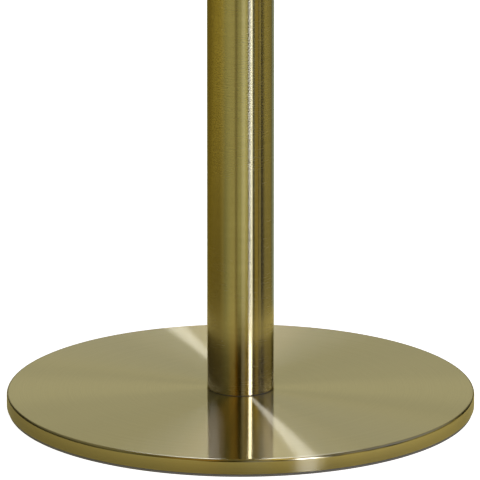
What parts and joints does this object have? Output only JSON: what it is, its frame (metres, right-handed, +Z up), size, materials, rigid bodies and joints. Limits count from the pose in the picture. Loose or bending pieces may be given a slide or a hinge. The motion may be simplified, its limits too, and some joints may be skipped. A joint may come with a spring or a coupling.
{
  "type": "rope barrier stanchion",
  "caption": "Free-standing rope barrier post with a weighted disc base, a straight tube, a slotted ring for rope hooks that turns, and a ball finial.",
  "frame": {"origin": "on the floor, at the centre of the base", "axes": "+Z up along the post; the front is -Y; the set screw in the finial's neck is at the back, +Y"},
  "size_m": [0.3556, 0.3556, 1.016],
  "materials": {
    "satin_brass": "brushed antique brass, satin lacquer, brush lines around each turned piece",
    "turned_brass": "plain turned brass, unlacquered, hidden",
    "rubber": "matt black moulded rubber",
    "cast_iron": "sand cast, black primer",
    "zinc_steel": "bright zinc plate",
    "cast_alloy": "as cast",
    "nylon": "natural nylon",
    "black_steel": "black oxide"
  },
  "bodies": {
    "stanchion": {"floor_protector": "rubber", "base_weight": "cast_iron", "base_cover": "satin_brass", "base_washer": "zinc_steel", "base_lock_washer": "zinc_steel", "base_nut": "zinc_steel", "tie_rod": "zinc_steel", "tube_gasket": "rubber", "foot_plug": "cast_alloy", "post_tube": "satin_brass", "rod_guide": "nylon", "head_plug": "satin_brass", "head_washer": "zinc_steel", "head_nut": "zinc_steel", "lower_glide_washer": "nylon", "upper_glide_washer": "nylon", "finial_neck": "satin_brass", "finial_set_screw": "black_steel", "finial_insert": "turned_brass", "finial_lower_shell": "satin_brass", "finial_upper_shell": "satin_brass"},
    "rope_ring": {"rope_ring": "satin_brass"}
  },
  "joints": [
    {"name": "ring_swivel", "type": "hinge", "parent": "stanchion", "child": "rope_ring", "pos_m": [0, 0, 0.92792], "axis": [0, 0, 1], "continuous": true}
  ]
}
